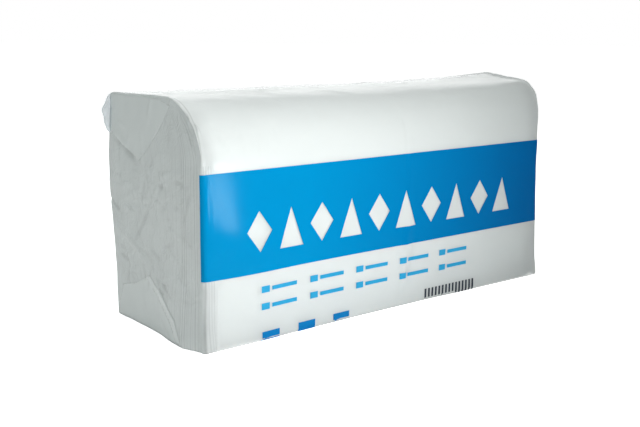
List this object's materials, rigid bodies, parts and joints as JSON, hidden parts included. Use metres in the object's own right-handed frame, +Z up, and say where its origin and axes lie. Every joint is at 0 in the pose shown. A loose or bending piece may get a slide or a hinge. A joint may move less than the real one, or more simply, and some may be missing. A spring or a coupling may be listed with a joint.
{
  "type": "paper napkin pack",
  "caption": "Pack of folded paper napkins standing on its long side, sealed in clear film with a blue printed band and folded ends.",
  "frame": {"origin": "middle of the underside", "axes": "+X along the napkins' long edge, the printed front faces -Y, +Z up"},
  "size_m": [0.1728, 0.0594, 0.082],
  "materials": {
    "tissue": "matte embossed tissue",
    "clear_film": "clear glossy film",
    "band_ink": "gloss print under film",
    "bar_ink": "gloss print under film",
    "field_ink": "gloss print under film",
    "stripe_ink": "gloss print under film"
  },
  "bodies": {
    "root": {"film_wrap": "clear_film", "napkin_01": "tissue", "napkin_02": "tissue", "napkin_03": "tissue", "napkin_04": "tissue", "napkin_05": "tissue", "napkin_06": "tissue", "napkin_07": "tissue", "napkin_08": "tissue", "napkin_09": "tissue", "napkin_10": "tissue", "napkin_11": "tissue", "napkin_12": "tissue", "napkin_13": "tissue", "napkin_14": "tissue", "napkin_15": "tissue", "napkin_16": "tissue", "napkin_17": "tissue", "napkin_18": "tissue", "napkin_19": "tissue", "napkin_20": "tissue", "napkin_21": "tissue", "napkin_22": "tissue", "napkin_23": "tissue", "napkin_24": "tissue", "napkin_25": "tissue", "napkin_26": "tissue", "napkin_27": "tissue", "napkin_28": "tissue", "napkin_29": "tissue", "napkin_30": "tissue", "napkin_31": "tissue", "napkin_32": "tissue", "napkin_33": "tissue", "napkin_34": "tissue", "napkin_35": "tissue", "napkin_36": "tissue", "napkin_37": "tissue", "napkin_38": "tissue", "napkin_39": "tissue", "napkin_40": "tissue", "napkin_41": "tissue", "napkin_42": "tissue", "napkin_43": "tissue", "napkin_44": "tissue", "napkin_45": "tissue", "napkin_46": "tissue", "napkin_47": "tissue", "napkin_48": "tissue", "napkin_49": "tissue", "napkin_50": "tissue", "print_band": "band_ink", "print_bars": "bar_ink", "print_fields": "field_ink", "print_stripes": "stripe_ink"}
  },
  "joints": []
}
